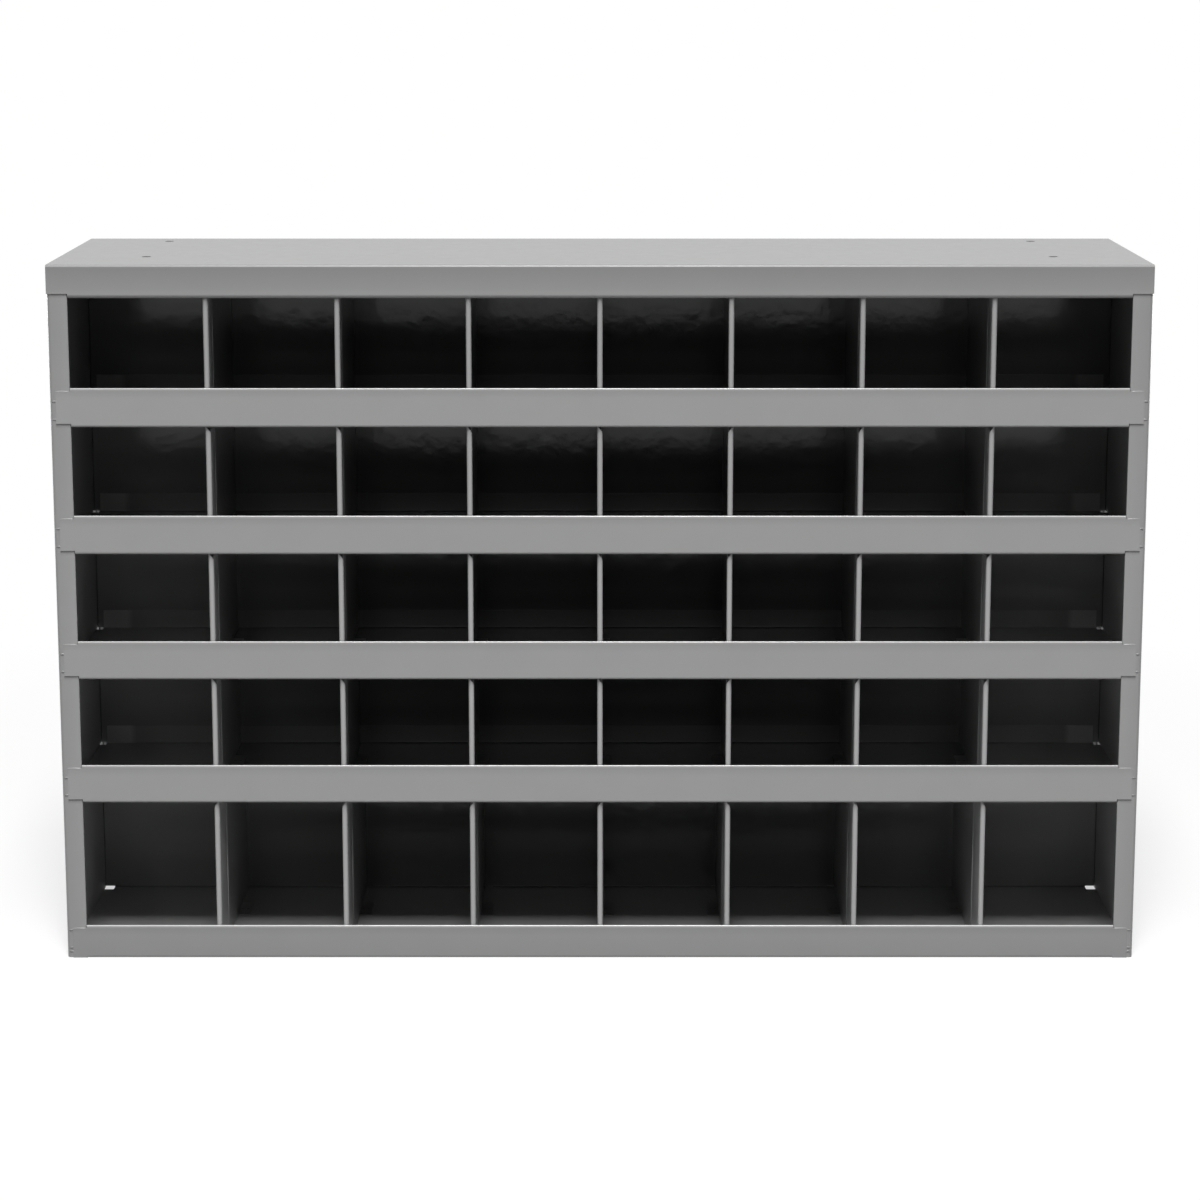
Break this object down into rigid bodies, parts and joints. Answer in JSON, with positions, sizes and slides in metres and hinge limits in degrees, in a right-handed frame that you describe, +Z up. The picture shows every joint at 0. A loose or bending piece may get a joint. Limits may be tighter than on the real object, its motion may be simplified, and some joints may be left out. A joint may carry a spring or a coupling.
{
  "type": "divider bin",
  "caption": "Open-fronted welded steel bin for small parts, with shelves, hemmed dividers, lipped compartments and bolt holes in its flat top.",
  "frame": {"origin": "on the ground, under the middle of the footprint", "axes": "+X to the right as seen from the open front, +Y to the rear, +Z up"},
  "size_m": [0.857, 0.216, 0.559],
  "materials": {
    "grey_paint": "semi-gloss baked enamel"
  },
  "bodies": {
    "root": {"side_panel_left": "grey_paint", "side_panel_right": "grey_paint", "top_panel": "grey_paint", "back_panel": "grey_paint", "bottom_shelf": "grey_paint", "shelf_1": "grey_paint", "shelf_2": "grey_paint", "shelf_3": "grey_paint", "shelf_4": "grey_paint", "row_1_divider_1": "grey_paint", "row_1_divider_2": "grey_paint", "row_1_divider_3": "grey_paint", "row_1_divider_4": "grey_paint", "row_1_divider_5": "grey_paint", "row_1_divider_6": "grey_paint", "row_1_divider_7": "grey_paint", "row_2_divider_1": "grey_paint", "row_2_divider_2": "grey_paint", "row_2_divider_3": "grey_paint", "row_2_divider_4": "grey_paint", "row_2_divider_5": "grey_paint", "row_2_divider_6": "grey_paint", "row_2_divider_7": "grey_paint", "row_3_divider_1": "grey_paint", "row_3_divider_2": "grey_paint", "row_3_divider_3": "grey_paint", "row_3_divider_4": "grey_paint", "row_3_divider_5": "grey_paint", "row_3_divider_6": "grey_paint", "row_3_divider_7": "grey_paint", "row_4_divider_1": "grey_paint", "row_4_divider_2": "grey_paint", "row_4_divider_3": "grey_paint", "row_4_divider_4": "grey_paint", "row_4_divider_5": "grey_paint", "row_4_divider_6": "grey_paint", "row_4_divider_7": "grey_paint", "row_5_divider_1": "grey_paint", "row_5_divider_2": "grey_paint", "row_5_divider_3": "grey_paint", "row_5_divider_4": "grey_paint", "row_5_divider_5": "grey_paint", "row_5_divider_6": "grey_paint", "row_5_divider_7": "grey_paint"}
  },
  "joints": []
}
